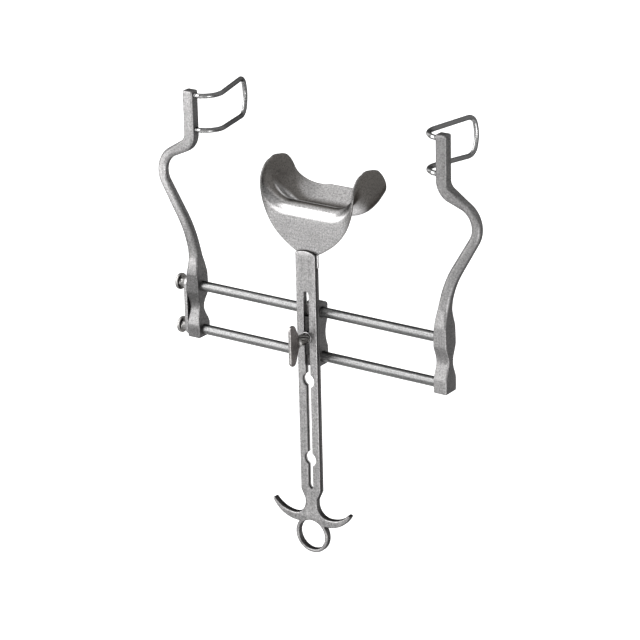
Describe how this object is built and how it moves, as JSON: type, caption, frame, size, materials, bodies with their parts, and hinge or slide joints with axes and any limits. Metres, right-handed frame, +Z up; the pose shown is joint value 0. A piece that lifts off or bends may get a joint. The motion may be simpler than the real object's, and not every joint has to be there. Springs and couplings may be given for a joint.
{
  "type": "self retaining retractor",
  "caption": "Surgical frame that spreads a wound between a fixed and a sliding arm with wire side blades, and holds it open with a dished centre blade clamped on a slotted shank.",
  "frame": {"origin": "midway between the two guide rods, at the middle of the full opening", "axes": "+X along the guide rods towards the fixed arm, +Y along the shank from the finger ring to the blades, +Z up, out of the wound"},
  "size_m": [0.2438, 0.2957, 0.0806],
  "materials": {
    "forged_arm": "satin forged stainless steel",
    "wire": "satin drawn stainless steel wire",
    "ground_rod": "smooth ground stainless steel",
    "flat_bar": "satin brushed stainless steel",
    "blade_sheet": "satin brushed stainless steel",
    "turned_parts": "turned stainless steel",
    "wing": null
  },
  "bodies": {
    "frame": {"fixed_arm": "forged_arm", "right_wire_blade": "wire", "upper_guide_rod": "ground_rod", "lower_guide_rod": "ground_rod", "upper_rod_pin": "ground_rod", "lower_rod_pin": "ground_rod", "rod_end_plate": "flat_bar"},
    "sliding_arm": {"sliding_arm": "forged_arm", "left_wire_blade": "wire"},
    "slider": {"slider_body": "forged_arm", "upper_slot_key": "flat_bar", "lower_slot_key": "flat_bar"},
    "shank": {"slotted_shank": "flat_bar", "center_blade": "blade_sheet"},
    "washer": {"swivel_washer": "flat_bar"},
    "screw": {"clamp_screw": "turned_parts", "wing_grip": "wing", "screw_stop_ring": "turned_parts"},
    "upper_knob": {"upper_end_knob": "turned_parts"},
    "lower_knob": {"lower_end_knob": "turned_parts"}
  },
  "joints": [
    {"name": "arm_slide", "type": "slide", "parent": "frame", "child": "sliding_arm", "axis": [1, 0, 0], "range_m": [0, 0.05]},
    {"name": "slider_slide", "type": "slide", "parent": "frame", "child": "slider", "axis": [1, 0, 0], "range_m": [-0.05, 0.05]},
    {"name": "shank_slide", "type": "slide", "parent": "slider", "child": "shank", "axis": [0, 1, 0], "range_m": [-0.015, 0.09]},
    {"name": "washer_lift", "type": "slide", "parent": "slider", "child": "washer", "axis": [0, 0, 1], "range_m": [0, 0.0012]},
    {"name": "screw_turn", "type": "hinge", "parent": "washer", "child": "screw", "pos_m": [-0.0015, 0, 0], "axis": [0, 0, 1], "range_deg": [0, 540]},
    {"name": "upper_knob_turn", "type": "hinge", "parent": "frame", "child": "upper_knob", "pos_m": [-0.105, 0.015, 0], "axis": [1, 0, 0], "continuous": true},
    {"name": "lower_knob_turn", "type": "hinge", "parent": "frame", "child": "lower_knob", "pos_m": [-0.105, -0.015, 0], "axis": [1, 0, 0], "continuous": true}
  ],
  "couplings": [
    {"joint": "screw_turn", "follows": "washer_lift", "rad_per_m": 7854}
  ]
}
